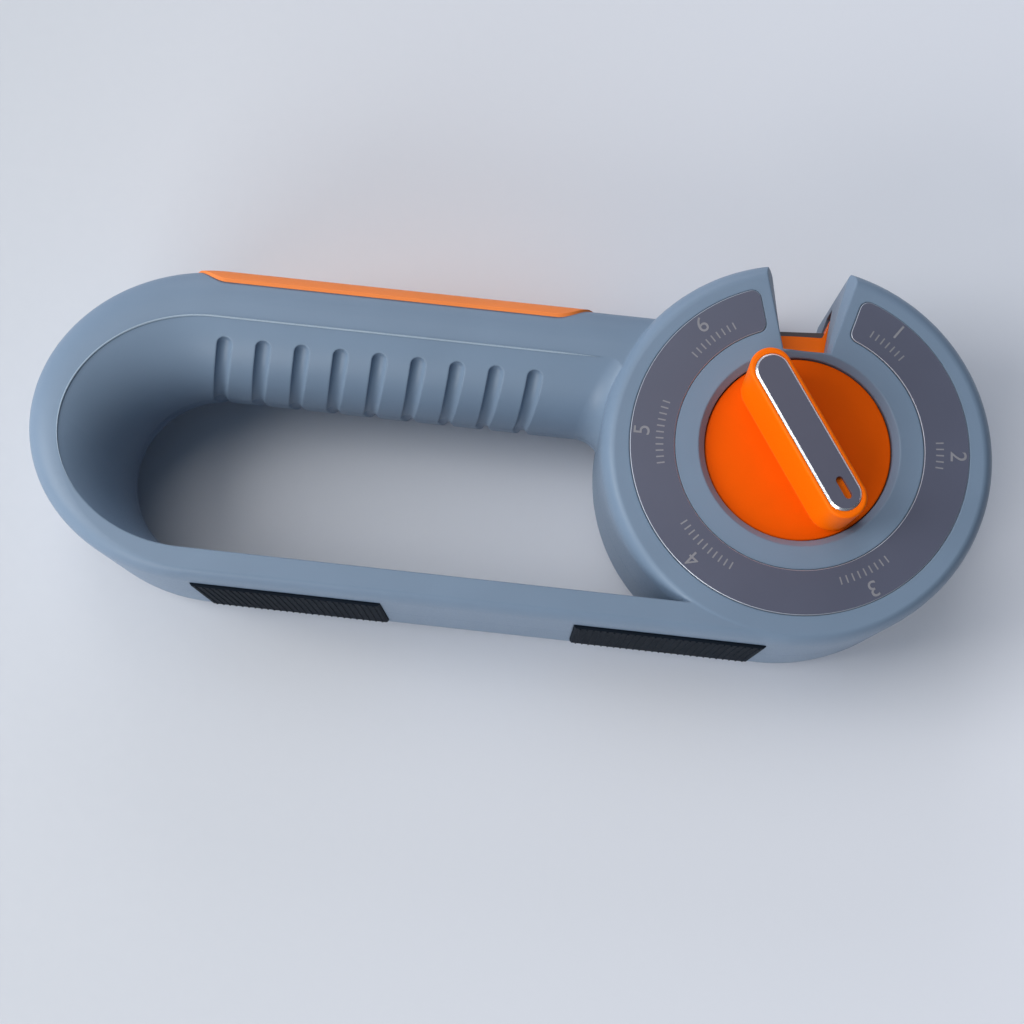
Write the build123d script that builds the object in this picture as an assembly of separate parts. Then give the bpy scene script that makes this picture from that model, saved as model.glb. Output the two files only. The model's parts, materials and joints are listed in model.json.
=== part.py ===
from build123d import *
import os
from math import acos, asin, cos, degrees, radians, sin, sqrt, tan

# Manual knife sharpener. Two hollow casing halves make a grip loop and a round head. A dial on the
# head turns a turret of six stations, and the chosen station's hones stand in the blade notch.
# Lengths are in millimetres and angles in degrees.
# X runs along the base towards the head, Y from the feet towards the notch, Z along the dial axis.
# The origin is on the dial axis in the plane of the casing's back. Pieces are first drawn about the
# parting plane between the two casing halves, and moved up by half the casing's depth at the end.

# Casing: depth along the dial axis, wall and outer edges
case_depth = 44.0
wall = 2.4
edge_round_depth = 6.0
head_radius = 43.0
head_rim_round = 4.0
base_sink = 0.1
base_edge_round = 2.0
handle_edge_round = 8.0

# Grip loop, measured from the head's edge and the base wall
loop_length = 126.2
handle_height = 70.9
handle_drop = 3.0
base_bar = 6.5
handle_waist = 25.6
handle_band = 11.7
end_waist = 21.2
end_band = 7.9
head_fillet = 7.0
head_fillet_overlap = 1.2
head_fillet_face_share = 0.4

# Length of the loop's far end as a share of a half circle: outside, and where the hole meets the face
end_oval_share = 1.1
band_oval_share = 1.16

# Finger grooves on the handle's inner side
groove_count = 9
groove_start = 18.3
groove_end_reach = 2.3
groove_width = 3.0
groove_depth = 0.9
groove_rise = 8.7
groove_lean = 8.5

# Blade notch in the head: its flanks, and the wider outline to which bevels open it at the face
notch_bridge = 1.2
notch_floor_width = 9.3
notch_flank = 11.7
notch_face_width = 10.4
notch_face_flank = 15.5
notch_bevel_depth = 4.0
notch_wall = 2.0
notch_tip_rounds = (3.0, 1.2)
notch_rim_gap = 0.01

# Dial pocket in the front half
dial_surround = 6.8
dial_sink = 2.0
dial_thickness = 3.0
dial_clearance = 0.2
dial_floor_gap = 0.3
dial_edge_round = 0.3
pocket_floor = 2.0
pocket_bevel = 1.4
cup_wall = 1.5

# Knob bar on the dial, its inlay plate and the drive below it
pointer_angle = 146.0
click_angle = 150.0
bar_height = 14.0
bar_margin = 0.5
bar_overhang = 1.0
bar_width = 9.1
bar_draft = 0.65
bar_edge_round = 0.6
inlay_end_margin = 1.6
inlay_side_margin = 0.9
inlay_thickness = 0.7
inlay_sink = 0.2
inlay_chamfer = 0.35
inlay_clearance = 0.05
window_length = 5.2
window_width = 1.7
window_margin = 2.2
window_offset = 0.5
hub_step = 2.9
running_clearance = 0.08
tenon_flats = 10.0
tenon_sides = 6
tenon_length = 8.0
tenon_clearance = 0.05

# Label ring round the dial
label_rim = 6.2
label_width = 9.7
label_thickness = 0.9
label_proud = 0.25
label_chamfer = 0.15
label_clearance = 0.1
label_margin = 2.6
label_corner = 2.0

# Grip strip along the handle's top
strip_start = 3.4
strip_end_reach = 8.3
strip_margin = 3.9
strip_proud = 0.4
strip_depth = 1.2
strip_corner = 9.0

# Rubber feet in the base wall
foot_start = 2.6
foot_end_margin = 1.5
foot_length = 41.7
foot_margin = 8.0
foot_thickness = 2.0
foot_proud = 0.7
foot_chamfer = 0.4
foot_clearance = 0.1

# Casing screws, driven from the back into posts in the front half
screw_radius = 1.25
screw_head_radius = 2.3
screw_head_height = 1.8
screw_bite = 10.0
screw_seat = 12.0
screw_clearance = 0.2
thread_clearance = 0.05
post_wall = 1.1
handle_screw_shares = (0.08, 0.654)
handle_screw_drop = 9.0
end_screw_angles = (142.0, 234.0)
end_screw_margin = 4.6

# Snap tabs that hold the two halves together round the head
tab_angles = (-55.0, 0.0, 48.0)
tab_sweep = 14.0
tab_thickness = 1.2
tab_gap = 0.2
tab_root = 3.0
tab_reach = 4.0

# Turret: two halves with bevelled rims, clamped together on the sharpening pieces
turret_rim_gap = 2.0
turret_rim_width = 5.0
turret_bevel = 16.6
turret_gap = 0.5
turret_room_gap = 0.6
station_count = 6
photographed_station = 3
station_depth = 9.6
station_floor_width = 15.2
station_flank = 25.0
station_corner = 1.5

# Rear end of the turret: detent ring, spindle, thrust washer and bush
detent_step = 7.0
detent_thickness = 2.2
detent_scallop_radius = 4.0
detent_scallop_depth = 1.1
spindle_radius = 6.0
washer_thickness = 0.45
washer_gap = 0.05
washer_clearance = 0.15
bush_wall = 1.6
press_clearance = 0.02
bush_floor = 1.2
bush_end_gap = 0.3
bush_boss_wall = 2.0

# Width of the thrust washer as a share of the step from the spindle to the detent ring's edge
washer_width_share = 7 / 18

# Detent spring and the slotted blocks that hold its ends
spring_thickness = 0.5
spring_width = 2.0
spring_stand_off = 3.6
spring_bump_half_width = 3.6
spring_nose_half_width = 0.5
spring_bend_radius = 0.4
spring_clearance = 0.5
spring_face_gap = 0.4
spring_block_length = 4.0
spring_block_wall = 1.4
spring_block_gap = 0.7
spring_slot_gap = 0.05

# Centre screw that pulls the knob onto the turret, and its washer
centre_screw_radius = 1.6
centre_screw_head_radius = 2.9
centre_screw_head_height = 2.2
centre_screw_bite = 6.0
centre_washer_edge = 0.7
centre_washer_thickness = 0.6
centre_recess_clearance = 0.3

# Turret screws
turret_screw_count = 3
turret_screw_margin = 3.4
turret_screw_turn = 30.0
turret_screw_radius = 1.1
turret_screw_head_radius = 2.0
turret_screw_head_height = 1.6
turret_screw_bite = 7.0
turret_screw_seat = 6.0

# Sharpening pieces, which stand in the station cut-outs
hone_inset = 3.6
hone_length = 10.6
hone_clearance = 0.05
vee_rise = 0.6
coarse_lean = 20.0
fine_lean = 20.0
bevel_leans = (3.0, 16.0)
slim_lean = 18.0
finish_lean = 16.0
plate_width = 4.2
plate_thickness = 2.2
rod_radius = 1.9
slim_rod_radius = 1.3
rod_web = 0.6
shear_hone_rise = 3.2
shear_hone_height = 4.0
shear_hone_bite = 4.1
shear_hone_width = 5.0

# One named overrun serves all cuts
overrun = 1.0

# Number of steps in the lofted edge roundings and in the flare of the finger hole
round_steps = 4
flare_steps = 5

half_depth = case_depth / 2
base_y = base_sink - head_radius
handle_top_y = base_y + handle_height
loop_reach = head_radius + loop_length
side_length = loop_reach - end_oval_share * handle_height / 2
hole_height = handle_height - handle_waist - base_bar
hole_side_length = loop_reach - end_waist - hole_height / 2
groove_first = head_radius + groove_start
groove_pitch = (hole_side_length + groove_end_reach - groove_first) / (groove_count - 1)
strip_length = side_length + strip_end_reach - head_radius - strip_start
strip_width = case_depth - 2 * strip_margin
foot_width = case_depth - 2 * foot_margin
foot_starts = (foot_start, side_length - foot_end_margin - foot_length)
post_radius = screw_head_radius + screw_clearance + post_wall
flare = handle_waist - handle_band
flare_depth = half_depth - handle_drop
flare_radius = (flare_depth ** 2 + flare ** 2) / (2 * flare)
flare_angle = asin(flare_depth / flare_radius)
label_outer_radius = head_radius - label_rim
label_inner_radius = label_outer_radius - label_width
label_seat_z = half_depth + label_proud - label_thickness
dial_radius = label_inner_radius - dial_surround
dial_face_z = half_depth - dial_sink
dial_back_z = dial_face_z - dial_thickness
pocket_floor_z = dial_back_z - dial_floor_gap
pocket_radius = dial_radius + dial_clearance
bar_root_length = 2 * (dial_radius - bar_margin)
bar_length = bar_root_length + bar_overhang
inlay_length = bar_length - 2 * inlay_end_margin
inlay_width = bar_width - 2 * inlay_side_margin
hub_radius = tenon_flats / 2 + hub_step
notch_floor = pocket_radius + notch_bridge
cup_back_z = pocket_floor_z - pocket_floor
turret_half_width = cup_back_z - turret_gap
turret_rim_radius = head_radius - wall - turret_rim_gap
turret_face_radius = turret_rim_radius - turret_bevel
turret_screw_circle = turret_face_radius - turret_screw_margin
station_floor = turret_rim_radius - station_depth
notch_gap = (notch_floor, notch_floor_width, notch_flank)
notch_face_gap = (notch_floor, notch_face_width, notch_face_flank)
station_gap = (station_floor, station_floor_width, station_flank)
hone_top_radius = turret_rim_radius - hone_inset
hone_foot_radius = hone_top_radius - hone_length
vee_radius = station_floor + vee_rise
shear_hone_top = station_floor + shear_hone_rise
detent_radius = turret_face_radius - detent_step
detent_back_z = -turret_half_width - detent_thickness
boss_top_z = detent_back_z - washer_gap - washer_thickness
bush_bottom_z = bush_floor - half_depth
spindle_end_z = bush_bottom_z + bush_end_gap
bush_radius = spindle_radius + running_clearance + bush_wall
washer_width = (detent_radius - spindle_radius) * washer_width_share
washer_radius = spindle_radius + washer_width
centre_washer_radius = centre_screw_head_radius + centre_washer_edge
spring_offset = detent_radius + spring_stand_off
spring_half_length = detent_radius


def polygon(*points):
    """Closed flat shape through the points."""
    return make_face(Polyline(*points, close=True))


def spun(*points):
    """Solid of revolution about the dial axis from (radius, height) points."""
    return revolve(Plane.XZ * polygon(*points), Axis.Z)


def post(radius, low, high):
    """Round bar along the dial axis between two heights."""
    return extrude(Pos(0, 0, low) * Circle(radius), high - low)


# Casing form, from the parting plane at level 0 to the face at level 1


def edge_levels():
    """Levels over which the outer edges are drawn in, each with its share of the full rounding."""
    straight = 1 - edge_round_depth / half_depth
    turns = [radians(90 * step / round_steps) for step in range(round_steps + 1)]
    return [(straight + (1 - straight) * sin(turn), 1 - cos(turn)) for turn in turns]


def fan_plane(level, inset):
    """Plane through the base wall that leans by the level's part of the handle's drop."""
    lean = asin(handle_drop / handle_height) * level
    height = level * (half_depth - inset)
    return Plane(origin=(0, base_y, height), x_dir=(1, 0, 0), z_dir=(0, sin(lean), cos(lean)))


def far_end(left, bottom, top, oval):
    """Half oval at the loop's far end as two arcs, with the place where its straight sides begin."""
    radius = (top - bottom) / 2
    centre = (left + radius * oval, (top + bottom) / 2)
    arcs = [EllipticalCenterArc(centre, radius * oval, radius, turn, arc_size=90) for turn in (90, 180)]
    return arcs, centre[0]


def loop_outline(left, bottom, top):
    """Two straight sides that run to the dial axis, joined by the oval far end."""
    arcs, side = far_end(left, bottom, top, end_oval_share)
    return make_face(arcs + [Polyline((side, bottom), (0, bottom), (0, top), (side, top))])


def hole_outline(left, bottom, top, oval, corner, inset):
    """Outline of the finger hole, with a round corner where the handle's underside runs into the head."""
    arcs, side = far_end(left, bottom, top, oval)
    radius = corner + inset
    centre_y = top - radius
    reach = head_radius + corner - head_fillet_overlap
    centre_x = -sqrt(reach ** 2 - (base_y + centre_y) ** 2)
    return make_face(arcs + [
        Polyline((side, bottom), (0, bottom), (0, centre_y), (centre_x + radius, centre_y)),
        CenterArc((centre_x, centre_y), radius, 0, 90),
        Line((centre_x, top), (side, top)),
    ])


def loop_section(level, share, inset):
    """Outline of the loop at one level, with its edges drawn in by a share of their rounding."""
    drawn = max(handle_edge_round - inset, 0) * share
    drawn_base = max(base_edge_round - inset, 0) * share
    left = inset + drawn - loop_reach
    return fan_plane(level, inset) * loop_outline(left, inset + drawn_base, handle_height - inset - drawn)


def loop_solid(inset):
    """Half of the loop without its finger hole, rounded towards the face."""
    levels = edge_levels()
    straight = loft([loop_section(0, 0, inset), loop_section(*levels[0], inset)], ruled=True)
    return straight + loft([loop_section(level, share, inset) for level, share in levels])


def hole_section(step, inset):
    """Outline of the finger hole, one step along the arc on which the hole flares."""
    turn = flare_angle * step / flare_steps
    level = sin(turn) / sin(flare_angle)
    share = (1 - cos(turn)) / (1 - cos(flare_angle))
    left = end_waist - (end_waist - end_band) * share - inset - loop_reach
    top = handle_height - handle_waist + flare * share + inset
    oval = 1 + (band_oval_share - 1) * share
    corner = head_fillet * head_fillet_face_share ** share
    return fan_plane(level, inset) * hole_outline(left, base_bar - inset, top, oval, corner, inset)


def hole_solid(inset):
    """Half of the finger hole, narrow at the parting plane and flared at the face."""
    return loft([hole_section(step, inset) for step in range(-1, flare_steps + 2)])


def head_section(level, share, inset):
    """Circle of the head at one level, always touching the line of the base wall."""
    drawn = max(head_rim_round - inset, 0) * share
    drawn_base = max(base_edge_round - inset, 0) * share
    radius = head_radius - inset - (drawn + drawn_base) / 2
    return Pos(0, (drawn_base - drawn) / 2, level * (half_depth - inset)) * Circle(radius)


def head_solid(inset):
    """Half of the round head, with its rim rounded towards the face."""
    levels = edge_levels()
    straight = post(head_radius - inset, 0, levels[0][0] * (half_depth - inset))
    return straight + loft([head_section(level, share, inset) for level, share in levels])


def half_form(inset):
    """Half of the casing's form, drawn in all over by the inset."""
    return loop_solid(inset) - hole_solid(inset) + head_solid(inset)


# Cuts that both casing halves share


def gap_half_width(gap, height, outset):
    """Half the width of a tapered gap at a height above the dial axis, widened on both flanks."""
    floor, floor_width, flank = gap
    return floor_width / 2 + (height - floor) * tan(radians(flank)) + outset / cos(radians(flank))


def gap_outline(gap, low, high, outset):
    """Outline of a tapered gap between two heights, widened on both flanks."""
    low_half = gap_half_width(gap, low, outset)
    high_half = gap_half_width(gap, high, outset)
    return polygon((-low_half, low), (low_half, low), (high_half, high), (-high_half, high))


def notch_cut():
    """The notch through the whole depth, with rounded tips and with bevels that open it at the face."""
    top = head_radius + overrun
    mouth = gap_half_width(notch_gap, top, 2 * max(notch_tip_rounds))
    outside = polygon((-mouth, notch_floor), (mouth, notch_floor), (mouth, top), (-mouth, top))
    flanks = gap_outline(notch_gap, notch_floor, top, 0)
    outline = outside - Circle(head_radius + notch_rim_gap) + flanks
    for side, radius in zip((-1, 1), notch_tip_rounds):
        corner = (side * gap_half_width(notch_gap, head_radius, 0), head_radius)
        tip = outline.vertices().sort_by_distance(corner)[0]
        outline = fillet(tip, radius)
    bevel = loft([
        Pos(0, 0, half_depth - notch_bevel_depth) * flanks,
        Pos(0, 0, half_depth) * gap_outline(notch_face_gap, notch_floor, top, 0),
    ], ruled=True)
    return extrude(outline, half_depth + overrun, both=True) + bevel


def turret_room():
    """Room for one half of the turret, with space all round it."""
    rim = turret_rim_radius + turret_room_gap
    face = turret_face_radius + turret_room_gap
    rim_z = turret_rim_width / 2 + turret_room_gap
    return spun((0, 0), (rim, 0), (rim, rim_z), (face, cup_back_z), (0, cup_back_z))


def groove_cuts():
    """Finger grooves that follow the handle's inner curve in one casing half, with round ends."""
    radius = ((groove_width / 2) ** 2 + groove_depth ** 2) / (2 * groove_depth)
    path_radius = flare_radius + radius - groove_depth
    sweep = acos(1 - groove_rise / flare_radius)
    lead = asin(overrun / path_radius)
    start = Rot(degrees(lead), 0, 0) * Pos(0, -path_radius, 0) * Circle(radius)
    bend = revolve(start, Axis((0, 0, 0), (-1, 0, 0)), degrees(sweep + lead))
    tip = Pos(0, -path_radius * cos(sweep), path_radius * sin(sweep)) * Sphere(radius)
    groove = Rot(0, groove_lean, 0) * (bend + tip)
    centre_y = handle_top_y - handle_waist + flare_radius
    return [Pos(-groove_first - step * groove_pitch, centre_y, 0) * groove for step in range(groove_count)]


def foot_solid(start, spare):
    """Rubber pad in the base wall, or with spare room round it the recess that holds it."""
    centre = (-start - foot_length / 2, base_y - foot_proud + foot_thickness / 2, 0)
    return Pos(*centre) * Box(foot_length + 2 * spare, foot_thickness, foot_width + 2 * spare)


def rubber_foot(start):
    """Rubber pad with its standing edges chamfered."""
    pad = foot_solid(start, 0)
    standing_face = pad.faces().sort_by(Axis.Y)[0]
    return chamfer(standing_face.edges(), foot_chamfer)


def screw_places():
    """Places of the casing screws: on the handle, and round the loop's far end."""
    straight = side_length - head_radius
    handle = [
        (-head_radius - share * straight, handle_top_y - handle_screw_drop)
        for share in handle_screw_shares
    ]
    radius = handle_height / 2
    long_radius = radius * end_oval_share
    end = [
        (long_radius - loop_reach + (long_radius - end_screw_margin) * cos(turn),
         base_y + radius + (radius - end_screw_margin) * sin(turn))
        for turn in [radians(angle) for angle in end_screw_angles]
    ]
    return handle + end


def strip_solid():
    """Grip strip over the handle's top, following the rounded shoulder to both sides."""
    skin = loop_solid(-strip_proud) - loop_solid(strip_depth)
    centre_x = -head_radius - strip_start - strip_length / 2
    footprint = Plane.XZ * Pos(centre_x, 0) * RectangleRounded(strip_length, strip_width, strip_corner)
    half = skin & extrude(footprint, -handle_height)
    return half + mirror(half, Plane.XY)


def at_screws(solid):
    """Copies of a solid at every casing screw."""
    return [Pos(x, y, 0) * solid for x, y in screw_places()]


def ring_sector(inner, outer, middle, sweep):
    """Flat piece of a ring about the dial axis, centred on an angle."""
    start = middle - sweep / 2
    outer_arc = CenterArc((0, 0), outer, start, sweep)
    inner_arc = CenterArc((0, 0), inner, start, sweep)
    return make_face([
        outer_arc,
        Line(outer_arc @ 1, inner_arc @ 1),
        inner_arc,
        Line(inner_arc @ 0, outer_arc @ 0),
    ])


def snap_tab(middle):
    """Tab inside the head's wall: its root joins the front half, its end reaches into the back half."""
    outer = head_radius - wall - tab_gap
    inner = outer - tab_thickness
    tongue_face = ring_sector(inner, outer, middle, tab_sweep)
    tongue = extrude(Pos(0, 0, -tab_reach) * tongue_face, tab_reach + tab_root)
    root_face = ring_sector(inner, head_radius - wall / 2, middle, tab_sweep)
    return tongue + extrude(Pos(0, 0, tab_gap) * root_face, tab_root - tab_gap)


def casing_half(solid_inside):
    """One casing half on the front side of the parting plane, solid where the inner pieces stand."""
    notch_walls = gap_outline(notch_face_gap, notch_floor - notch_wall, head_radius + overrun, notch_wall)
    cavity = half_form(wall) - extrude(notch_walls, half_depth)
    cavity -= at_screws(post(post_radius, 0, half_depth))
    cavity -= solid_inside
    shell = half_form(0) - cavity
    shell -= turret_room()
    shell -= notch_cut()
    shell -= groove_cuts()
    shell -= [foot_solid(start, foot_clearance) for start in foot_starts]
    return shell - strip_solid()


def label_face(spare):
    """C-shaped outline of the label ring, open at the notch, with round corners."""
    gap = gap_outline(notch_face_gap, label_inner_radius / 2, head_radius, label_margin - spare)
    outline = Circle(label_outer_radius + spare) - Circle(label_inner_radius - spare) - gap
    corners = outline.vertices().sort_by(Axis.Y)[-4:]
    return fillet(corners, label_corner)


def front_shell():
    """Front casing half: dial pocket, label recess, screw holes and snap tabs."""
    shell = casing_half(post(pocket_radius + cup_wall, cup_back_z, half_depth))
    rim = pocket_radius + pocket_bevel
    shell -= spun(
        (0, pocket_floor_z),
        (pocket_radius, pocket_floor_z),
        (pocket_radius, half_depth - pocket_bevel),
        (rim, half_depth),
        (rim, half_depth + overrun),
        (0, half_depth + overrun),
    )
    shell -= post(hub_radius + running_clearance, cup_back_z - overrun, half_depth)
    shell -= extrude(Pos(0, 0, label_seat_z) * label_face(label_clearance), label_thickness)
    shell -= at_screws(post(screw_radius + thread_clearance, -overrun, screw_bite + overrun))
    return shell + [snap_tab(angle) for angle in tab_angles]


def back_shell():
    """Back casing half: bush boss, counterbored screw holes and the blocks for the detent spring."""
    boss = post(bush_radius + press_clearance + bush_boss_wall, -boss_top_z, half_depth)
    shell = mirror(casing_half(boss), Plane.XY)
    shell -= post(bush_radius + press_clearance, bush_bottom_z, 0)
    shell -= at_screws(post(screw_radius + screw_clearance, -half_depth, overrun))
    counterbore = post(screw_head_radius + screw_clearance, -half_depth - overrun, screw_seat - half_depth)
    shell -= at_screws(counterbore)
    return shell + [spring_block(side) for side in (-1, 1)]


# Fixed pieces on the casing


def label_ring():
    """Thin label plate in the front recess, standing a little proud, with its upper edges bevelled."""
    plate_solid = extrude(Pos(0, 0, label_seat_z) * label_face(0), label_thickness)
    return chamfer(plate_solid.faces().sort_by(Axis.Z)[-1].edges(), label_chamfer)


def screw_solid(radius, head_radius, head_height, seat_z, tip_z):
    """Screw driven towards the front: its head lies behind the seat, its shank runs to the tip."""
    return spun(
        (0, seat_z - head_height),
        (head_radius, seat_z - head_height),
        (head_radius, seat_z),
        (radius, seat_z),
        (radius, tip_z - radius),
        (0, tip_z),
    )


def casing_screws():
    """The casing screws, seated in the back half."""
    seat_z = screw_seat - half_depth
    screw = screw_solid(screw_radius, screw_head_radius, screw_head_height, seat_z, screw_bite)
    return Compound(at_screws(screw))


def spindle_bush():
    """Plain bush for the turret's spindle, pressed into the back half."""
    tube = post(bush_radius, bush_bottom_z, boss_top_z)
    return tube - post(spindle_radius + running_clearance, bush_bottom_z, boss_top_z)


def thrust_washer():
    """Thin washer between the bush boss and the detent ring."""
    disc = post(washer_radius, boss_top_z, boss_top_z + washer_thickness)
    return disc - post(spindle_radius + washer_clearance, boss_top_z, boss_top_z + washer_thickness)


def spring_low_z():
    """Height of the detent spring's lower edge."""
    return -turret_half_width - spring_face_gap - spring_width


def detent_spring():
    """Flat spring across the back half, with a bump that rests in one scallop of the detent ring."""
    nose_y = detent_radius - detent_scallop_depth + spring_clearance + spring_thickness / 2
    path = FilletPolyline(
        (-spring_half_length, -spring_offset),
        (-spring_bump_half_width, -spring_offset),
        (-spring_nose_half_width, -nose_y),
        (spring_nose_half_width, -nose_y),
        (spring_bump_half_width, -spring_offset),
        (spring_half_length, -spring_offset),
        radius=spring_bend_radius,
    )
    return extrude(Pos(0, 0, spring_low_z()) * trace(path, spring_thickness), spring_width)


def spring_block(side):
    """Slotted block on the back half that holds one end of the detent spring."""
    low = -half_depth + wall / 2
    high = -turret_half_width - spring_block_gap
    slot_width = spring_thickness + 2 * spring_slot_gap
    centre_x = side * (spring_half_length - spring_block_length / 2)
    block_width = slot_width + 2 * spring_block_wall
    outline = Pos(centre_x, -spring_offset) * Rectangle(spring_block_length, block_width)
    slot = Pos(centre_x, -spring_offset) * Rectangle(spring_block_length, slot_width)
    block = extrude(Pos(0, 0, low) * outline, high - low)
    return block - extrude(Pos(0, 0, spring_low_z()) * slot, high - spring_low_z())


# Sharpening pieces, drawn in a station whose middle line runs up the Y axis


def leaned(shape, side, lean):
    """A piece leaned to one side about the bottom of the station's vee."""
    return Pos(0, vee_radius, 0) * Rot(0, 0, side * lean) * shape


def plate(side, lean, spare):
    """Flat blade on one side of the parting plane; spare room makes its slot."""
    foot = hone_foot_radius - vee_radius - spare
    top = hone_top_radius - vee_radius
    outline = polygon(
        (side * spare, foot),
        (side * spare, top),
        (-side * (plate_width + spare), top),
        (-side * (plate_width + spare), foot),
    )
    return leaned(extrude(outline, side * (plate_thickness + spare), dir=(0, 0, 1)), side, lean)


def rod(side, lean, radius, spare):
    """Round rod on one side of the parting plane; spare room makes its hole."""
    foot = hone_foot_radius - vee_radius - spare
    top = hone_top_radius - vee_radius
    upright = Rot(-90, 0, 0) * post(radius + spare, 0, top - foot)
    return leaned(Pos(-side * radius, foot, side * (radius + rod_web)) * upright, side, lean)


def shear_hone(spare):
    """Flat hone that lies across the station; spare room makes its slot."""
    middle = shear_hone_top - shear_hone_height / 2
    length = station_floor_width + 2 * shear_hone_bite
    size = [side + 2 * spare for side in (length, shear_hone_height, shear_hone_width)]
    return Pos(0, middle, 0) * Box(*size)


def stations():
    """Each station's pieces as (name, maker): the maker takes a spare room and returns the solid."""
    return [
        [("coarse_blade_front", lambda spare: plate(1, coarse_lean, spare)),
         ("coarse_blade_rear", lambda spare: plate(-1, coarse_lean, spare))],
        [("fine_rod_front", lambda spare: rod(1, fine_lean, rod_radius, spare)),
         ("fine_rod_rear", lambda spare: rod(-1, fine_lean, rod_radius, spare))],
        [("shear_hone", shear_hone)],
        [("bevel_blade_front", lambda spare: plate(1, bevel_leans[0], spare)),
         ("bevel_blade_rear", lambda spare: plate(-1, bevel_leans[1], spare))],
        [("slim_rod_front", lambda spare: rod(1, slim_lean, slim_rod_radius, spare)),
         ("slim_rod_rear", lambda spare: rod(-1, slim_lean, slim_rod_radius, spare))],
        [("finish_rod_front", lambda spare: rod(1, finish_lean, rod_radius, spare)),
         ("finish_rod_rear", lambda spare: rod(-1, finish_lean, rod_radius, spare))],
    ]


def station_turn(number):
    """Turn that puts a station in its place on the turret while the third one stands in the notch."""
    return Rot(0, 0, (number - photographed_station) * 360 / station_count)


def hone_pieces(spare):
    """All sharpening pieces in their places, by name."""
    return {
        name: station_turn(number) * make(spare)
        for number, pieces in enumerate(stations(), start=1)
        for name, make in pieces
    }


# Turret and dial, which turn together


def turret_half():
    """Half of the turret on the front side of the parting plane, with its station cut-outs."""
    body = spun(
        (0, 0),
        (turret_rim_radius, 0),
        (turret_rim_radius, turret_rim_width / 2),
        (turret_face_radius, turret_half_width),
        (0, turret_half_width),
    )
    outline = gap_outline(station_gap, station_floor, turret_rim_radius + overrun, 0)
    outline = fillet(outline.vertices().sort_by(Axis.Y)[:2], station_corner)
    cut = extrude(outline, turret_half_width + overrun)
    step = 360 / station_count
    body -= [Rot(0, 0, number * step) * cut for number in range(station_count)]
    return body - post(centre_screw_radius + screw_clearance, 0, turret_half_width)


def at_turret_screws(solid):
    """Copies of a solid at every turret screw."""
    turns = [turret_screw_turn + 360 * number / turret_screw_count for number in range(turret_screw_count)]
    return [Rot(0, 0, turn) * Pos(0, turret_screw_circle, 0) * solid for turn in turns]


def turret_front(hone_rooms):
    """Front half of the turret, with the socket for the knob's drive."""
    body = turret_half() - hone_rooms
    socket = RegularPolygon(tenon_flats / 2 + tenon_clearance, tenon_sides, major_radius=False)
    socket_z = turret_half_width - tenon_length - tenon_clearance
    body -= extrude(Pos(0, 0, socket_z) * socket, tenon_length + overrun)
    pilot = post(turret_screw_radius + thread_clearance, 0, turret_screw_bite + thread_clearance)
    return body - at_turret_screws(pilot)


def turret_rear(hone_rooms):
    """Rear half of the turret, with the detent ring and the spindle."""
    body = mirror(turret_half(), Plane.XY) - hone_rooms
    ring = post(detent_radius, detent_back_z, -turret_half_width)
    scallop_centre = detent_radius - detent_scallop_depth + detent_scallop_radius
    scallop = Pos(0, -scallop_centre, 0) * post(detent_scallop_radius, detent_back_z, -turret_half_width)
    step = 360 / station_count
    ring -= [Rot(0, 0, number * step) * scallop for number in range(station_count)]
    body += ring + post(spindle_radius, spindle_end_z, detent_back_z)
    body -= post(centre_screw_radius + screw_clearance, detent_back_z, 0)
    body -= post(centre_washer_radius + centre_recess_clearance, spindle_end_z, -turret_half_width)
    body -= at_turret_screws(post(turret_screw_radius + screw_clearance, -turret_half_width, 0))
    seat_z = turret_screw_seat - turret_half_width
    counterbore = post(turret_screw_head_radius + screw_clearance, -turret_half_width, seat_z)
    return body - at_turret_screws(counterbore)


def turret_screws():
    """Screws that clamp the two turret halves together."""
    seat_z = turret_screw_seat - turret_half_width
    head = (turret_screw_head_radius, turret_screw_head_height)
    return Compound(at_turret_screws(screw_solid(turret_screw_radius, *head, seat_z, turret_screw_bite)))


def centre_washer():
    """Washer under the centre screw's head."""
    low = -turret_half_width - centre_washer_thickness
    disc = post(centre_washer_radius, low, -turret_half_width)
    return disc - post(centre_screw_radius + screw_clearance, low, -turret_half_width)


def centre_screw():
    """Screw through the turret into the knob's drive."""
    seat_z = -turret_half_width - centre_washer_thickness
    tip_z = turret_half_width - tenon_length + centre_screw_bite
    head = (centre_screw_head_radius, centre_screw_head_height)
    return screw_solid(centre_screw_radius, *head, seat_z, tip_z)


def on_pointer(solid):
    """A piece drawn along the X axis, turned to where the knob's bar points at the click."""
    return Rot(0, 0, 90 - click_angle) * solid


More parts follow.
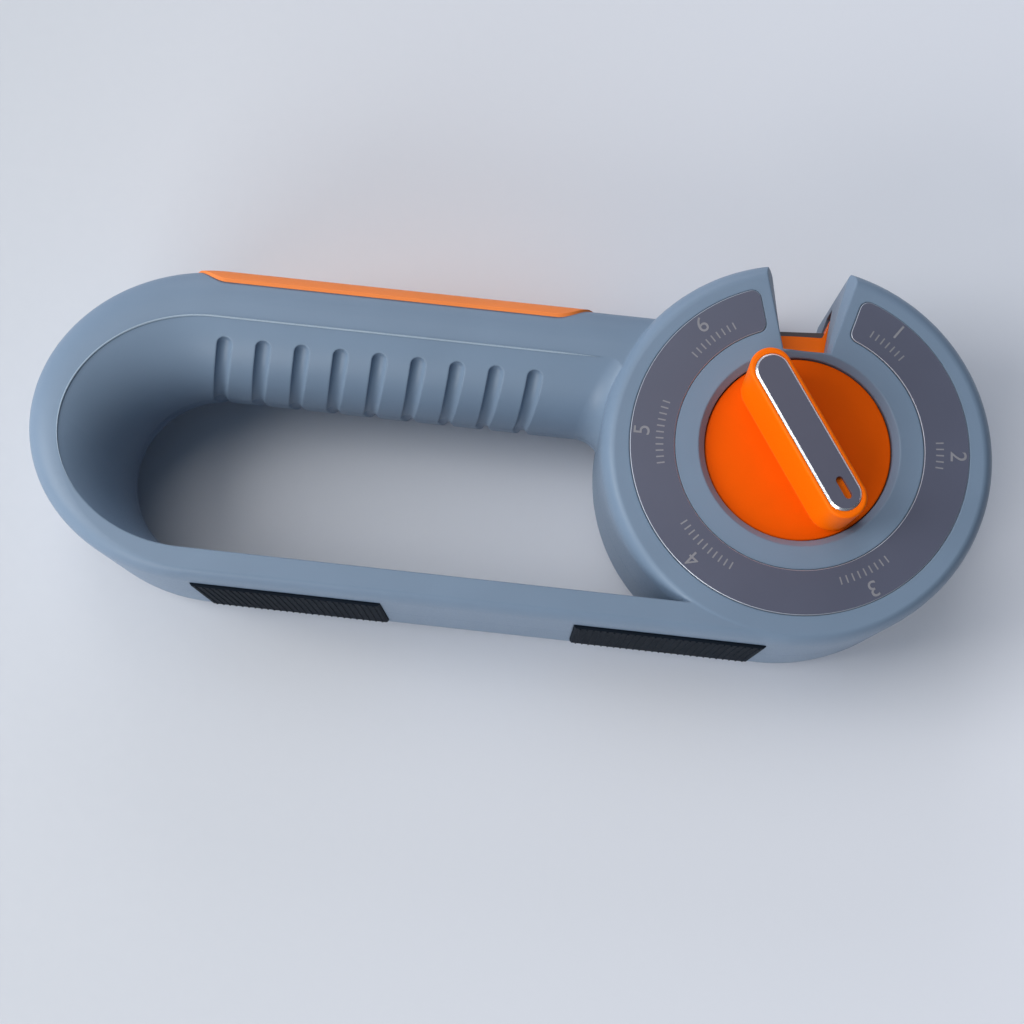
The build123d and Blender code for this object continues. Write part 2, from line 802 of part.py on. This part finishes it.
def dial_knob():
    """Dial disc with its raised bar on the front and the hub and six-sided drive behind."""
    disc = post(dial_radius, dial_back_z, dial_face_z)
    disc = fillet(disc.edges().sort_by(Axis.Z)[-1], dial_edge_round)
    bar_top_z = dial_face_z + bar_height
    bar = loft([
        Pos(0, 0, dial_face_z) * SlotOverall(bar_root_length, bar_width + 2 * bar_draft),
        Pos(-bar_overhang / 2, 0, bar_top_z) * SlotOverall(bar_length, bar_width),
    ], ruled=True)
    bar = fillet(bar.faces().sort_by(Axis.Z)[-1].edges(), bar_edge_round)
    knob = disc + bar
    seat_z = bar_top_z - inlay_sink - inlay_thickness
    knob -= extrude(Pos(0, 0, seat_z) * inlay_face(inlay_clearance), inlay_sink + inlay_thickness + overrun)
    knob = on_pointer(knob) + post(hub_radius, turret_half_width, dial_back_z)
    tenon_z = turret_half_width - tenon_length
    tenon = RegularPolygon(tenon_flats / 2, tenon_sides, major_radius=False)
    knob += extrude(Pos(0, 0, tenon_z) * tenon, tenon_length)
    pilot_z = tenon_z + centre_screw_bite + thread_clearance
    return knob - post(centre_screw_radius + thread_clearance, tenon_z, pilot_z)


def inlay_face(spare):
    """Outline of the inlay plate, or with spare room of its recess."""
    outline = SlotOverall(inlay_length + 2 * spare, inlay_width + 2 * spare)
    return Pos(-bar_overhang / 2, 0) * outline


def knob_inlay():
    """Plate in the bar's top, with a bright chamfer and a window near the pointing end."""
    low = dial_face_z + bar_height - inlay_sink - inlay_thickness
    body = extrude(Pos(0, 0, low) * inlay_face(0), inlay_thickness)
    body = chamfer(body.faces().sort_by(Axis.Z)[-1].edges(), inlay_chamfer)
    window_x = (inlay_length - window_length - bar_overhang) / 2 - window_margin
    window = Pos(window_x, window_offset, low) * SlotOverall(window_length, window_width)
    return on_pointer(body - extrude(window, inlay_thickness))


def casing_pieces():
    """Every piece that stays with the casing, by name."""
    return {
        "front_shell": front_shell(),
        "back_shell": back_shell(),
        "label_ring": label_ring(),
        "grip_strip": strip_solid(),
        "head_foot": rubber_foot(foot_starts[0]),
        "loop_foot": rubber_foot(foot_starts[1]),
        "casing_screws": casing_screws(),
        "spindle_bush": spindle_bush(),
        "thrust_washer": thrust_washer(),
        "detent_spring": detent_spring(),
    }


def turning_pieces():
    """Every piece that turns with the dial, by name, with the dial a little short of its click."""
    rooms = list(hone_pieces(hone_clearance).values())
    pieces = {
        "dial_knob": dial_knob(),
        "knob_inlay": knob_inlay(),
        "turret_front": turret_front(rooms),
        "turret_rear": turret_rear(rooms),
        "turret_screws": turret_screws(),
        "centre_washer": centre_washer(),
        "centre_screw": centre_screw(),
    }
    pieces.update(hone_pieces(0))
    return {name: Rot(0, 0, click_angle - pointer_angle) * piece for name, piece in pieces.items()}


os.makedirs("parts", exist_ok=True)
for name, piece in (casing_pieces() | turning_pieces()).items():
    export_step(Pos(0, 0, half_depth) * piece, f"parts/{name}.step")
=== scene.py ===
import json
import math

import bpy
from mathutils import Matrix, Vector


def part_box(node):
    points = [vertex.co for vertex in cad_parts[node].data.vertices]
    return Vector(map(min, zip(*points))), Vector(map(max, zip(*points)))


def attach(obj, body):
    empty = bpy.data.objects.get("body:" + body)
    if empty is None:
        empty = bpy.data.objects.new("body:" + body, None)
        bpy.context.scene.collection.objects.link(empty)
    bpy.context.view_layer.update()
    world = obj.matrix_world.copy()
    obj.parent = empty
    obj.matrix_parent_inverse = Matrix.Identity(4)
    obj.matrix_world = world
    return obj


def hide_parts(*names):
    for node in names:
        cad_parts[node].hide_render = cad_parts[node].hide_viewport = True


# Manual knife sharpener lying on its back on a pale table, seen from above and a little below.
# Lengths are in metres in the object's frame: X along the base, Y towards the notch, Z out of the dial.

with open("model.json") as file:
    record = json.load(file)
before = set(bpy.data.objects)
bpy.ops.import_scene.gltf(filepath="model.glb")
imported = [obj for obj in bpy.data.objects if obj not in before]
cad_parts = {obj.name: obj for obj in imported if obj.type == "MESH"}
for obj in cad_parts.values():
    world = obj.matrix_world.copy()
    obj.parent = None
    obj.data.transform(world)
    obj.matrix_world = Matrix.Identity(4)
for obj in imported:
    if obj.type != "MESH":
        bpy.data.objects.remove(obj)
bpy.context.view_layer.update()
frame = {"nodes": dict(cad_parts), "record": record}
nodes = frame["nodes"]

MM = 0.001

# Heights that the details sit on
label_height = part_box("label_ring")[1][2]
dial_face = 42.0 * MM
bar_top = 56.0 * MM
bar_foot_margin = 0.1 * MM

# Print on the label: numbers at angles clockwise from the notch, each with a row of ticks below it
number_radius = 34.2 * MM
number_size = 5.04 * MM
number_angles = (35.0, 87.5, 148.5, 217.5, 270.0, 317.0)
tick_radius = 30.4 * MM
tick_length = 1.7 * MM
tick_width = 0.32 * MM
tick_step = 2.6
tick_counts = (7, 5, 9, 11, 11, 9)
print_height = 0.03 * MM

# Inlay plate on the bar, which stands a little proud with a bright bevel round its edge
pointer_angle = 146.0
plate_half_width = 3.65 * MM
plate_bevel_width = 0.42 * MM
plate_bevel_height = 0.38 * MM
level_slack = 0.01 * MM

# Ridges on the rubber feet
rib_pitch = 1.5 * MM
rib_radius = 0.24 * MM
rib_end_margin = 0.8 * MM
rib_sides = 6

# Fine bead along the crease between the handle's face and its flared inner side, paler than the casing as a
# painted highlight
bead_radius = 0.24 * MM
bead_lift = 0.05 * MM
bead_sides = 8
bead_straight_steps = 40
bead_bend_steps = 90
bead_bend_angle = 130.0
bead_start_fade_steps = 4
bead_end_fade_steps = 40
bead_least_share = 0.02
crease_left = -161.3 * MM
crease_bottom = -36.4 * MM
crease_top = 16.2 * MM
crease_end = -44.5 * MM
crease_oval_share = 1.16
face_drop = 3.0 * MM
face_run = 70.9 * MM
face_lean = math.asin(face_drop / face_run)
face_height = 44.0 * MM
base_wall = -42.9 * MM

# Cross recess in each casing screw, drawn as a dark cross of painted shade
recess_length = 2.6 * MM
recess_width = 0.7 * MM
recess_lift = 0.02 * MM
screw_head_reach = 6.0 * MM

# Cell sizes of the surface grains
casing_grain = 0.35 * MM
moulded_grain = 0.3 * MM
label_grain = 0.25 * MM
fine_grain = 0.2 * MM
ceramic_grain = 0.15 * MM
grit_grain = 0.12 * MM
table_grain = 3.0 * MM

# Cells to the metre of the colour clouds and of the brushed lines
cloud_cells = 60
brushed_cells = (60, 2500, 2500)

# Depths of the surface grains
table_grain_depth = 0.05 * MM
rubber_grain_depth = 0.02 * MM
grip_grain_depth = 0.01 * MM
casing_grain_depth = 0.006 * MM
moulded_grain_depth = 0.004 * MM
satin_grain_depth = 0.003 * MM
smooth_grain_depth = 0.002 * MM

# Radii over which the shading of sharp edges is softened
casing_rounding = 0.6 * MM
knob_rounding = 0.4 * MM

# Table top with painted shade, darker towards the window so that it looks evenly lit
table_size = 24.0
table_drop = 0.2 * MM
table_painted_shade_x = -220.0 * MM
table_pale_x = 100.0 * MM
table_painted_shade_colour = (0.505, 0.53, 0.585, 1)
table_pale_colour = (0.80, 0.82, 0.90, 1)

# Lights: place, width and height
light_target = Vector((-0.06, 0, 0.02))
window_light_place = (-0.73, -0.06, 0.54)
window_light_size = (0.42, 0.6)
far_light_place = (-0.36, 1.16, 0.51)
near_light_place = (-0.66, -1.04, 0.51)
side_light_size = (0.7, 0.7)
room_light_place = (-0.45, 0.40, 1.24)
room_light_size = (1.0, 0.9)
room_colour = (0.66, 0.82, 1.0, 1)
room_window_strength = 0.56
room_far_strength = 0.04

# Camera
camera_right = Vector((0.993977, 0.109569, 0.001974))
camera_down = Vector((0.107869, -0.975063, -0.193949))
camera_forward = Vector((-0.019325, 0.192994, -0.981010))
camera_place = Vector((-0.05374, -0.08757, 0.38151))
camera_sensor = 36.0
camera_lens = 56.25
camera_near = 10.0 * MM


# Materials


def new_material(name):
    """Empty node material with its shader and a coordinate in the object's frame."""
    material = bpy.data.materials.new(name)
    material.use_nodes = True
    tree = material.node_tree
    shader = tree.nodes["Principled BSDF"]
    coordinates = tree.nodes.new("ShaderNodeTexCoord")
    return material, tree, shader, coordinates.outputs["Object"]


def noise(tree, vector, scale, detail):
    """Noise over the object at a given number of cells to the metre."""
    node = tree.nodes.new("ShaderNodeTexNoise")
    node.inputs["Scale"].default_value = scale
    node.inputs["Detail"].default_value = detail
    tree.links.new(vector, node.inputs["Vector"])
    return node.outputs["Fac"]


def spread(tree, factor, low, high):
    """The factor's middle range stretched between two values."""
    node = tree.nodes.new("ShaderNodeMapRange")
    node.inputs["From Min"].default_value = 0.3
    node.inputs["From Max"].default_value = 0.7
    node.inputs["To Min"].default_value = low
    node.inputs["To Max"].default_value = high
    tree.links.new(factor, node.inputs["Value"])
    return node.outputs["Result"]


def shaded(tree, factor, colour, change):
    """Colour that swings a little darker and lighter with the factor."""
    ramp = tree.nodes.new("ShaderNodeValToRGB")
    ramp.color_ramp.elements[0].position = 0.3
    ramp.color_ramp.elements[0].color = [value * (1 - change) for value in colour] + [1]
    ramp.color_ramp.elements[1].position = 0.7
    ramp.color_ramp.elements[1].color = [value * (1 + change) for value in colour] + [1]
    tree.links.new(factor, ramp.inputs["Fac"])
    return ramp.outputs["Color"]


def raised(tree, height, distance, strength, rounding=0.0):
    """Surface normal bumped by a height field, with the edges softened over the rounding."""
    bump = tree.nodes.new("ShaderNodeBump")
    bump.inputs["Strength"].default_value = strength
    bump.inputs["Distance"].default_value = distance
    tree.links.new(height, bump.inputs["Height"])
    if rounding:
        bevel = tree.nodes.new("ShaderNodeBevel")
        bevel.samples = 8
        bevel.inputs["Radius"].default_value = rounding
        tree.links.new(bevel.outputs["Normal"], bump.inputs["Normal"])
    return bump.outputs["Normal"]


def surface(name, colour, roughness, grain, depth, change=0.04, metallic=0.0, specular=0.5, rounding=0.0):
    """Material with cloudy colour, uneven sheen and a fine grain of the given cell size."""
    material, tree, shader, place = new_material(name)
    cloud = noise(tree, place, cloud_cells, 4)
    tree.links.new(shaded(tree, cloud, colour, change), shader.inputs["Base Color"])
    fine = noise(tree, place, 1 / grain, 3)
    tree.links.new(spread(tree, fine, roughness * 0.85, roughness * 1.15), shader.inputs["Roughness"])
    tree.links.new(raised(tree, fine, depth, 0.5, rounding), shader.inputs["Normal"])
    shader.inputs["Metallic"].default_value = metallic
    shader.inputs["Specular IOR Level"].default_value = specular
    return material


def orange_plastic(name, colour, roughness, specular, rounding):
    """Moulded orange plastic."""
    return surface(name, colour, roughness, moulded_grain, moulded_grain_depth, 0.03,
                   specular=specular, rounding=rounding)


def brushed(name, colour, roughness, depth):
    """Metal with fine lines along the object's long axis."""
    material, tree, shader, place = new_material(name)
    mapping = tree.nodes.new("ShaderNodeMapping")
    mapping.inputs["Scale"].default_value = brushed_cells
    tree.links.new(place, mapping.inputs["Vector"])
    lines = noise(tree, mapping.outputs["Vector"], 1, 3)
    tree.links.new(shaded(tree, lines, colour, 0.1), shader.inputs["Base Color"])
    tree.links.new(spread(tree, lines, roughness * 0.8, roughness * 1.2), shader.inputs["Roughness"])
    tree.links.new(raised(tree, lines, depth, 0.3), shader.inputs["Normal"])
    shader.inputs["Metallic"].default_value = 1.0
    return material


materials = {
    "casing": surface("casing plastic", (0.168, 0.234, 0.329), 0.42, casing_grain, casing_grain_depth,
                      0.03, specular=0.3, rounding=casing_rounding),
    "label": surface("label plate", (0.084, 0.091, 0.138), 0.36, label_grain, satin_grain_depth),
    "grip_rubber": surface("orange grip", (0.83, 0.215, 0.037), 0.6, moulded_grain, grip_grain_depth),
    "foot_rubber": surface("foot rubber", (0.005, 0.009, 0.016), 0.7, moulded_grain, rubber_grain_depth,
                           0.1, specular=0.06),
    "orange_plastic": orange_plastic("orange knob", (0.79, 0.102, 0.0004), 0.42, 0.05, knob_rounding),
    # Brighter orange than the knob for the turret: painted light against the shade in the notch
    "turret_plastic": orange_plastic("orange turret with painted light", (0.95, 0.15, 0.001), 0.5, 0.08, 0),
    "inlay": surface("inlay plate", (0.082, 0.083, 0.122), 0.36, fine_grain, smooth_grain_depth),
    "steel": brushed("plated steel", (0.55, 0.55, 0.56), 0.3, satin_grain_depth),
    "spring_steel": brushed("spring steel", (0.42, 0.42, 0.44), 0.32, satin_grain_depth),
    "bush": brushed("turned brass", (0.60, 0.42, 0.14), 0.3, satin_grain_depth),
    "hard_metal": brushed("ground carbide", (0.24, 0.24, 0.25), 0.34, moulded_grain_depth),
    "coated_hone": surface("grit coated hone", (0.10, 0.10, 0.11), 0.6, grit_grain, rubber_grain_depth,
                           0.2, metallic=0.6),
    "ceramic": surface("white ceramic", (0.80, 0.78, 0.73), 0.5, fine_grain, casing_grain_depth),
    "fine_ceramic": surface("fine ceramic", (0.68, 0.64, 0.58), 0.5, ceramic_grain, moulded_grain_depth),
}
# Lighter copy of the knob's orange for the bar: painted light
bar_painted_light_material = orange_plastic("orange bar painted light", (0.92, 0.150, 0.0008), 0.42, 0.1, knob_rounding)
print_material = surface("label print", (0.23, 0.23, 0.26), 0.5, fine_grain, smooth_grain_depth, 0.1)
cut_edge = brushed("bright cut edge", (0.92, 0.92, 0.93), 0.28, smooth_grain_depth)
label_edge = surface("label edge", (0.40, 0.43, 0.50), 0.4, fine_grain, smooth_grain_depth, 0.05,
                     metallic=0.3)
# Paler than the casing: painted highlight along the crease bead
bead_painted_highlight_material = surface("polished bead with painted highlight", (0.28, 0.36, 0.45), 0.3, casing_grain, satin_grain_depth, 0.03)
# Near black for the screws' cross recesses: painted shade
painted_recess_shade_material = surface("painted recess shadow", (0.02, 0.02, 0.022), 0.6, fine_grain, moulded_grain_depth, 0.1)

for row in frame["record"]["subparts"]:
    mesh = nodes[row["node"]].data
    mesh.materials.clear()
    mesh.materials.append(materials[row["material_slot"]])


def brighten_chamfer(mesh, material):
    """Paler material on the slanted edge faces of a plate."""
    mesh.materials.append(material)
    for polygon in mesh.polygons:
        if 0.1 < polygon.normal.z < 0.95:
            polygon.material_index = 1


def paint_light_on_bar():
    """Lighter orange on the bar that stands up from the dial: painted light on the same moulding as the
    dial.
    """
    mesh = nodes["dial_knob"].data
    mesh.materials.append(bar_painted_light_material)
    for polygon in mesh.polygons:
        if polygon.center.z > dial_face + bar_foot_margin:
            polygon.material_index = 1


brighten_chamfer(nodes["label_ring"].data, label_edge)
paint_light_on_bar()


# Pieces made here


def mesh_piece(name, corners, faces, material, body):
    """Piece from corners and faces with the given material, which rides on a body."""
    mesh = bpy.data.meshes.new(name)
    mesh.from_pydata(corners, [], faces)
    mesh.materials.append(material)
    piece = bpy.data.objects.new(name, mesh)
    bpy.context.collection.objects.link(piece)
    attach(piece, body)
    return piece


def tube(path, radii, sides):
    """Corners and faces of a closed round bar along a path of points with a radius at each."""
    corners = []
    faces = []
    for index, point in enumerate(path):
        ahead = path[min(index + 1, len(path) - 1)] - path[max(index - 1, 0)]
        across = ahead.normalized().cross(Vector((0, 0, 1))).normalized()
        upward = across.cross(ahead.normalized())
        for side in range(sides):
            turn = 2 * math.pi * side / sides
            corners.append(point + (across * math.cos(turn) + upward * math.sin(turn)) * radii[index])
    for index in range(len(path) - 1):
        for side in range(sides):
            after = (side + 1) % sides
            first = index * sides
            faces.append([first + side, first + after, first + sides + after, first + sides + side])
    faces.append(list(range(sides))[::-1])
    faces.append([len(corners) - sides + side for side in range(sides)])
    return corners, faces


# Plain numbers and a tick scale on the label


def on_label(angle, radius):
    """Place on the label at an angle clockwise from the notch, with its top pointing outwards."""
    turn = Matrix.Rotation(-math.radians(angle), 4, "Z")
    return turn @ Matrix.Translation((0, radius, label_height + print_height))


def label_number(text, angle):
    """One printed number."""
    curve = bpy.data.curves.new(f"label_number_{text}", "FONT")
    curve.body = text
    curve.size = number_size
    curve.align_x = "CENTER"
    curve.align_y = "CENTER"
    curve.extrude = print_height
    curve.materials.append(print_material)
    number = bpy.data.objects.new(curve.name, curve)
    bpy.context.collection.objects.link(number)
    number.matrix_world = on_label(angle, number_radius)
    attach(number, "casing")


def label_scale(name, angle, count):
    """Row of printed ticks below a number."""
    corners = []
    faces = []
    for step in range(count):
        place = on_label(angle + (step - (count - 1) / 2) * tick_step, tick_radius)
        first = len(corners)
        for x, y in ((-1, -1), (1, -1), (1, 1), (-1, 1)):
            corners.append(place @ Vector((x * tick_width / 2, y * tick_length / 2, 0)))
        faces.append([first, first + 1, first + 2, first + 3])
    mesh_piece(name, corners, faces, print_material, "casing")


for index, angle in enumerate(number_angles):
    label_number(str(index + 1), angle)
    label_scale(f"label_scale_{index + 1}", angle, tick_counts[index])


# Inlay plate with its bevel


def inlay_corner(place, pointer, ends):
    """Corner of the plate, moved up and in where it bounds the bevel or the top face."""
    low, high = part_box("knob_inlay")
    if place.z < low.z + level_slack:
        return place.copy()
    if place.z < high.z - level_slack:
        return Vector((place.x, place.y, bar_top))
    spot = pointer * min(max(place.dot(pointer), ends[0]), ends[1])
    outward = Vector((place.x, place.y, 0)) - spot
    outward.length = min(outward.length, plate_half_width - plate_bevel_width)
    return spot + outward + Vector((0, 0, bar_top + plate_bevel_height))


def inlay_plate():
    """Plate in the bar with the solid's outline and window."""
    mesh = nodes["knob_inlay"].data
    pointer = Matrix.Rotation(-math.radians(pointer_angle), 3, "Z") @ Vector((0, 1, 0))
    reach = [vertex.co.dot(pointer) for vertex in mesh.vertices]
    ends = (min(reach) + plate_half_width, max(reach) - plate_half_width)
    corners = [inlay_corner(vertex.co, pointer, ends) for vertex in mesh.vertices]
    faces = [list(polygon.vertices) for polygon in mesh.polygons]
    plate = mesh_piece("inlay_plate", corners, faces, materials["inlay"], "turret")
    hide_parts("knob_inlay")
    brighten_chamfer(plate.data, cut_edge)


inlay_plate()


# Ridges across the feet


def rib_bar(x, y, heights):
    """Bar along Z between two heights."""
    corners = []
    for height in heights:
        for side in range(rib_sides):
            turn = 2 * math.pi * side / rib_sides
            outward = Vector((math.cos(turn), math.sin(turn), 0)) * rib_radius
            corners.append(Vector((x, y, height)) + outward)
    low_ring = list(range(rib_sides))
    faces = [[side, (side + 1) % rib_sides, (side + 1) % rib_sides + rib_sides, side + rib_sides]
             for side in low_ring]
    high_ring = [side + rib_sides for side in low_ring]
    return corners, faces + [low_ring[::-1], high_ring]


def foot_ribs(foot):
    """Row of half-sunk round ribs across a rubber foot."""
    low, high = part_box(foot)
    count = int((high.x - low.x - 2 * rib_end_margin) / rib_pitch)
    middle = (low.x + high.x) / 2
    heights = (low.z + rib_end_margin, high.z - rib_end_margin)
    corners = []
    faces = []
    for step in range(count + 1):
        first = len(corners)
        rib_corners, rib_faces = rib_bar(middle + (step - count / 2) * rib_pitch, low.y, heights)
        corners += rib_corners
        faces += [[first + corner for corner in face] for face in rib_faces]
    mesh_piece(f"{foot}_ribs", corners, faces, materials["foot_rubber"], "casing")


foot_ribs("head_foot")
foot_ribs("loop_foot")


# Bead along the crease


def crease_point(x, y):
    """Point on the leaning face of the loop, at a height above the base wall measured along the face."""
    height = y - base_wall
    return Vector((x, base_wall + height * math.cos(face_lean),
                   face_height - height * math.sin(face_lean) + bead_lift))


def crease_path():
    """Points along the handle from the head, then round the loop's far end."""
    radius = (crease_top - crease_bottom) / 2
    middle = (crease_top + crease_bottom) / 2
    wide_radius = radius * crease_oval_share
    side = crease_left + wide_radius
    path = []
    for step in range(bead_straight_steps):
        path.append(crease_point(crease_end + (side - crease_end) * step / bead_straight_steps, crease_top))
    for step in range(bead_bend_steps + 1):
        turn = math.radians(90 + bead_bend_angle * step / bead_bend_steps)
        path.append(crease_point(side + wide_radius * math.cos(turn), middle + radius * math.sin(turn)))
    return path


def crease_bead():
    """Bead along the crease that fades out at both ends."""
    path = crease_path()
    radii = []
    for step in range(len(path)):
        left = len(path) - 1 - step
        share = min(1, step / bead_start_fade_steps, left / bead_end_fade_steps)
        radii.append(bead_radius * max(bead_least_share, share))
    corners, faces = tube(path, radii, bead_sides)
    bead = mesh_piece("crease_bead", corners, faces, bead_painted_highlight_material, "casing")
    for polygon in bead.data.polygons:
        polygon.use_smooth = True


crease_bead()


# Painted shade in the cross recesses of the casing screws


def screw_places():
    """Middle of each casing screw's head, on its rear face."""
    mesh = nodes["casing_screws"].data
    rear = min(vertex.co.z for vertex in mesh.vertices)
    groups = []
    for vertex in mesh.vertices:
        if vertex.co.z > rear + recess_lift:
            continue
        near = [group for group in groups if (group[0] - vertex.co).length < screw_head_reach]
        if near:
            near[0].append(vertex.co.copy())
        else:
            groups.append([vertex.co.copy()])
    return [sum(group, Vector()) / len(group) for group in groups]


def paint_screw_recess_shade():
    """Dark crosses of painted shade for the recesses in the heads of the casing screws."""
    corners = []
    faces = []
    for place in screw_places():
        for length, width in ((recess_length, recess_width), (recess_width, recess_length)):
            first = len(corners)
            for x, y in ((-1, -1), (-1, 1), (1, 1), (1, -1)):
                corners.append(place + Vector((x * length / 2, y * width / 2, -recess_lift)))
            faces.append([first, first + 1, first + 2, first + 3])
    mesh_piece("casing_screw_recess_shade", corners, faces, painted_recess_shade_material, "casing")


paint_screw_recess_shade()


# Table, light and camera


def table_material():
    """Matt table top with painted shade, a little paler away from the window."""
    material, tree, shader, place = new_material("table top")
    parts = tree.nodes.new("ShaderNodeSeparateXYZ")
    tree.links.new(place, parts.inputs["Vector"])
    ramp = tree.nodes.new("ShaderNodeMapRange")
    ramp.inputs["From Min"].default_value = table_painted_shade_x
    ramp.inputs["From Max"].default_value = table_pale_x
    tree.links.new(parts.outputs["X"], ramp.inputs["Value"])
    blend = tree.nodes.new("ShaderNodeMix")
    blend.data_type = "RGBA"
    blend.inputs["A"].default_value = table_painted_shade_colour
    blend.inputs["B"].default_value = table_pale_colour
    tree.links.new(ramp.outputs["Result"], blend.inputs["Factor"])
    tree.links.new(blend.outputs["Result"], shader.inputs["Base Color"])
    grain = noise(tree, place, 1 / table_grain, 3)
    tree.links.new(spread(tree, grain, 0.6, 0.8), shader.inputs["Roughness"])
    tree.links.new(raised(tree, grain, table_grain_depth, 0.5), shader.inputs["Normal"])
    return material


def table():
    """Pale matt table top under the object."""
    bpy.ops.mesh.primitive_plane_add(size=table_size, location=(0, 0, -table_drop))
    top = bpy.context.object
    top.name = "table"
    top.data.materials.append(table_material())
    return top


def area_light(name, place, size, power, colour):
    """Soft rectangular light that looks at the object."""
    light = bpy.data.lights.new(name, "AREA")
    light.shape = "RECTANGLE"
    light.size, light.size_y = size
    light.energy = power
    light.color = colour
    lamp = bpy.data.objects.new(name, light)
    bpy.context.collection.objects.link(lamp)
    lamp.location = place
    lamp.rotation_euler = (light_target - Vector(place)).to_track_quat("-Z", "Y").to_euler()


def room():
    """World that is brighter on the window side."""
    world = bpy.data.worlds.new("room")
    world.use_nodes = True
    tree = world.node_tree
    background = tree.nodes["Background"]
    background.inputs["Color"].default_value = room_colour
    direction = tree.nodes.new("ShaderNodeTexCoord")
    parts = tree.nodes.new("ShaderNodeSeparateXYZ")
    strength = tree.nodes.new("ShaderNodeMapRange")
    strength.inputs["From Min"].default_value = -1
    strength.inputs["From Max"].default_value = 1
    strength.inputs["To Min"].default_value = room_window_strength
    strength.inputs["To Max"].default_value = room_far_strength
    tree.links.new(direction.outputs["Generated"], parts.inputs["Vector"])
    tree.links.new(parts.outputs["X"], strength.inputs["Value"])
    tree.links.new(strength.outputs["Result"], background.inputs["Strength"])
    bpy.context.scene.world = world


def place_camera():
    """Camera above the object's near side."""
    data = bpy.data.cameras.new("camera")
    data.sensor_width = camera_sensor
    data.lens = camera_lens
    data.clip_start = camera_near
    camera = bpy.data.objects.new("camera", data)
    bpy.context.collection.objects.link(camera)
    rotation = Matrix((camera_right, -camera_down, -camera_forward)).transposed().to_4x4()
    camera.matrix_world = Matrix.Translation(camera_place) @ rotation
    bpy.context.scene.camera = camera


table()
area_light("window light", window_light_place, window_light_size, 4.5, (1.0, 0.98, 0.93))
area_light("far light", far_light_place, side_light_size, 3.8, (0.97, 0.97, 1.0))
area_light("near light", near_light_place, side_light_size, 8.6, (1.0, 0.96, 0.90))
area_light("room light", room_light_place, room_light_size, 4.8, (1.0, 0.94, 0.86))
room()
place_camera()
bpy.context.scene.view_settings.view_transform = "Standard"
